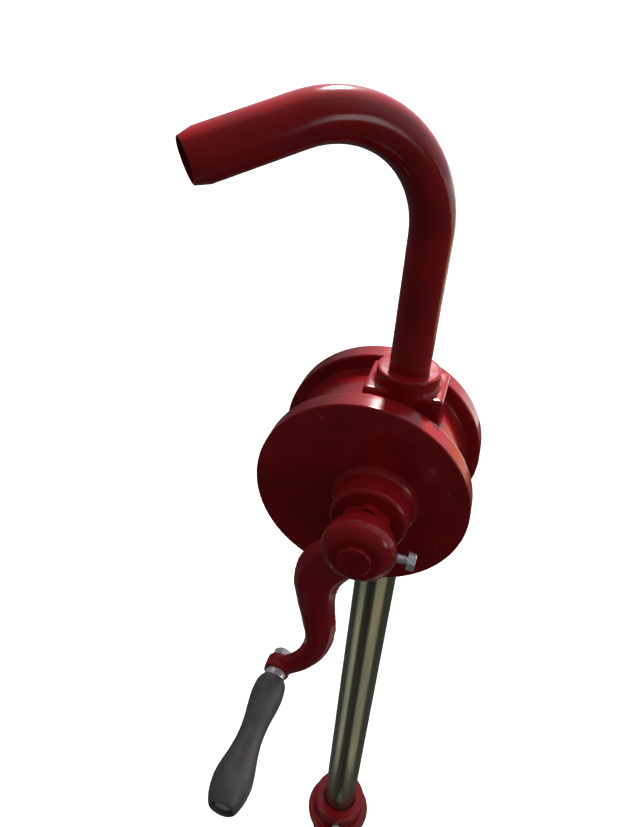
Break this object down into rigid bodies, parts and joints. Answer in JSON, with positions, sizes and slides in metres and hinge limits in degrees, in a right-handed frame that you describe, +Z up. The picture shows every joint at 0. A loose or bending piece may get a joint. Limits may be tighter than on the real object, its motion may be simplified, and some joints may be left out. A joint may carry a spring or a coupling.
{
  "type": "hand oil pump",
  "caption": "Hand-cranked rotary vane pump on a telescopic suction tube, with a goose-necked spout and a threaded adaptor for a drum's bung.",
  "frame": {"origin": "on the suction tube's axis, where the bung adaptor's washer meets the drum", "axes": "+Z up along the suction tube, towards the spout; -Y towards the crank; +X to the right as seen from the crank's side"},
  "size_m": [0.1755, 0.2591, 0.8976],
  "materials": {
    "red_paint": "gloss",
    "yellow_zinc": "satin",
    "white_zinc": "satin",
    "machined_steel": "satin",
    "cast_iron": "matte",
    "bronze": "satin",
    "black_rubber": "matte",
    "gasket_paper": "matte",
    "packing_cord": "matte",
    "black_plastic": "matte"
  },
  "bodies": {
    "adaptor": {"bung_adaptor": "red_paint", "bung_washer": "black_rubber"},
    "lock_screw": {"tube_lock_screw": "white_zinc"},
    "seal_ring": {"tube_seal_ring": "black_rubber"},
    "pump": {"pump_body": "red_paint", "front_cover": "red_paint", "rear_cover": "red_paint", "front_gasket": "gasket_paper", "rear_gasket": "gasket_paper", "front_cover_screws": "red_paint", "rear_cover_screws": "red_paint", "front_bush": "bronze", "rear_bush": "bronze", "shaft_packing": "packing_cord", "packing_gland": "red_paint", "suction_tube_outer": "yellow_zinc", "tube_end_gland": "white_zinc", "gland_seal": "black_rubber", "spout_seal": "black_rubber"},
    "inner_tube": {"suction_tube_inner": "yellow_zinc", "inner_tube_stop": "bronze", "foot_strainer": "white_zinc"},
    "spout": {"discharge_spout": "red_paint"},
    "crank": {"crank_arm": "red_paint", "crank_set_screw": "white_zinc", "drive_shaft": "machined_steel", "rotor": "cast_iron", "rotor_key": "machined_steel", "vane_springs": "machined_steel", "grip_bolt": "white_zinc", "grip_nut": "white_zinc", "grip_collar": "white_zinc", "grip_washer": "white_zinc"},
    "upper_vane": {"upper_vane": "bronze"},
    "lower_vane": {"lower_vane": "bronze"},
    "grip": {"hand_grip": "black_plastic"}
  },
  "joints": [
    {"name": "lock_screw_turn", "type": "hinge", "parent": "adaptor", "child": "lock_screw", "pos_m": [0, 0, 0.0175], "axis": [0.1392, -0.9903, 0], "continuous": true},
    {"name": "pump_swivel", "type": "hinge", "parent": "adaptor", "child": "seal_ring", "pos_m": [0, 0, 0], "axis": [0, 0, 1], "continuous": true},
    {"name": "pump_slide", "type": "slide", "parent": "seal_ring", "child": "pump", "axis": [0, 0, 1], "range_m": [-0.4, 0.043]},
    {"name": "tube_extend", "type": "slide", "parent": "pump", "child": "inner_tube", "axis": [0, 0, -1], "range_m": [0, 0.38]},
    {"name": "spout_swivel", "type": "hinge", "parent": "pump", "child": "spout", "pos_m": [0, 0, 0.6], "axis": [0, 0, 1], "range_deg": [-180, 180]},
    {"name": "crank_turn", "type": "hinge", "parent": "pump", "child": "crank", "pos_m": [-0.005, 0, 0.52], "axis": [0, 1, 0], "continuous": true},
    {"name": "upper_vane_slide", "type": "slide", "parent": "crank", "child": "upper_vane", "axis": [0, 0, 1], "range_m": [0, 0.0084]},
    {"name": "lower_vane_slide", "type": "slide", "parent": "crank", "child": "lower_vane", "axis": [0, 0, -1], "range_m": [0, 0.0084]},
    {"name": "grip_spin", "type": "hinge", "parent": "crank", "child": "grip", "pos_m": [-0.0525, -0.15, 0.3805], "axis": [0, 1, 0], "continuous": true}
  ]
}
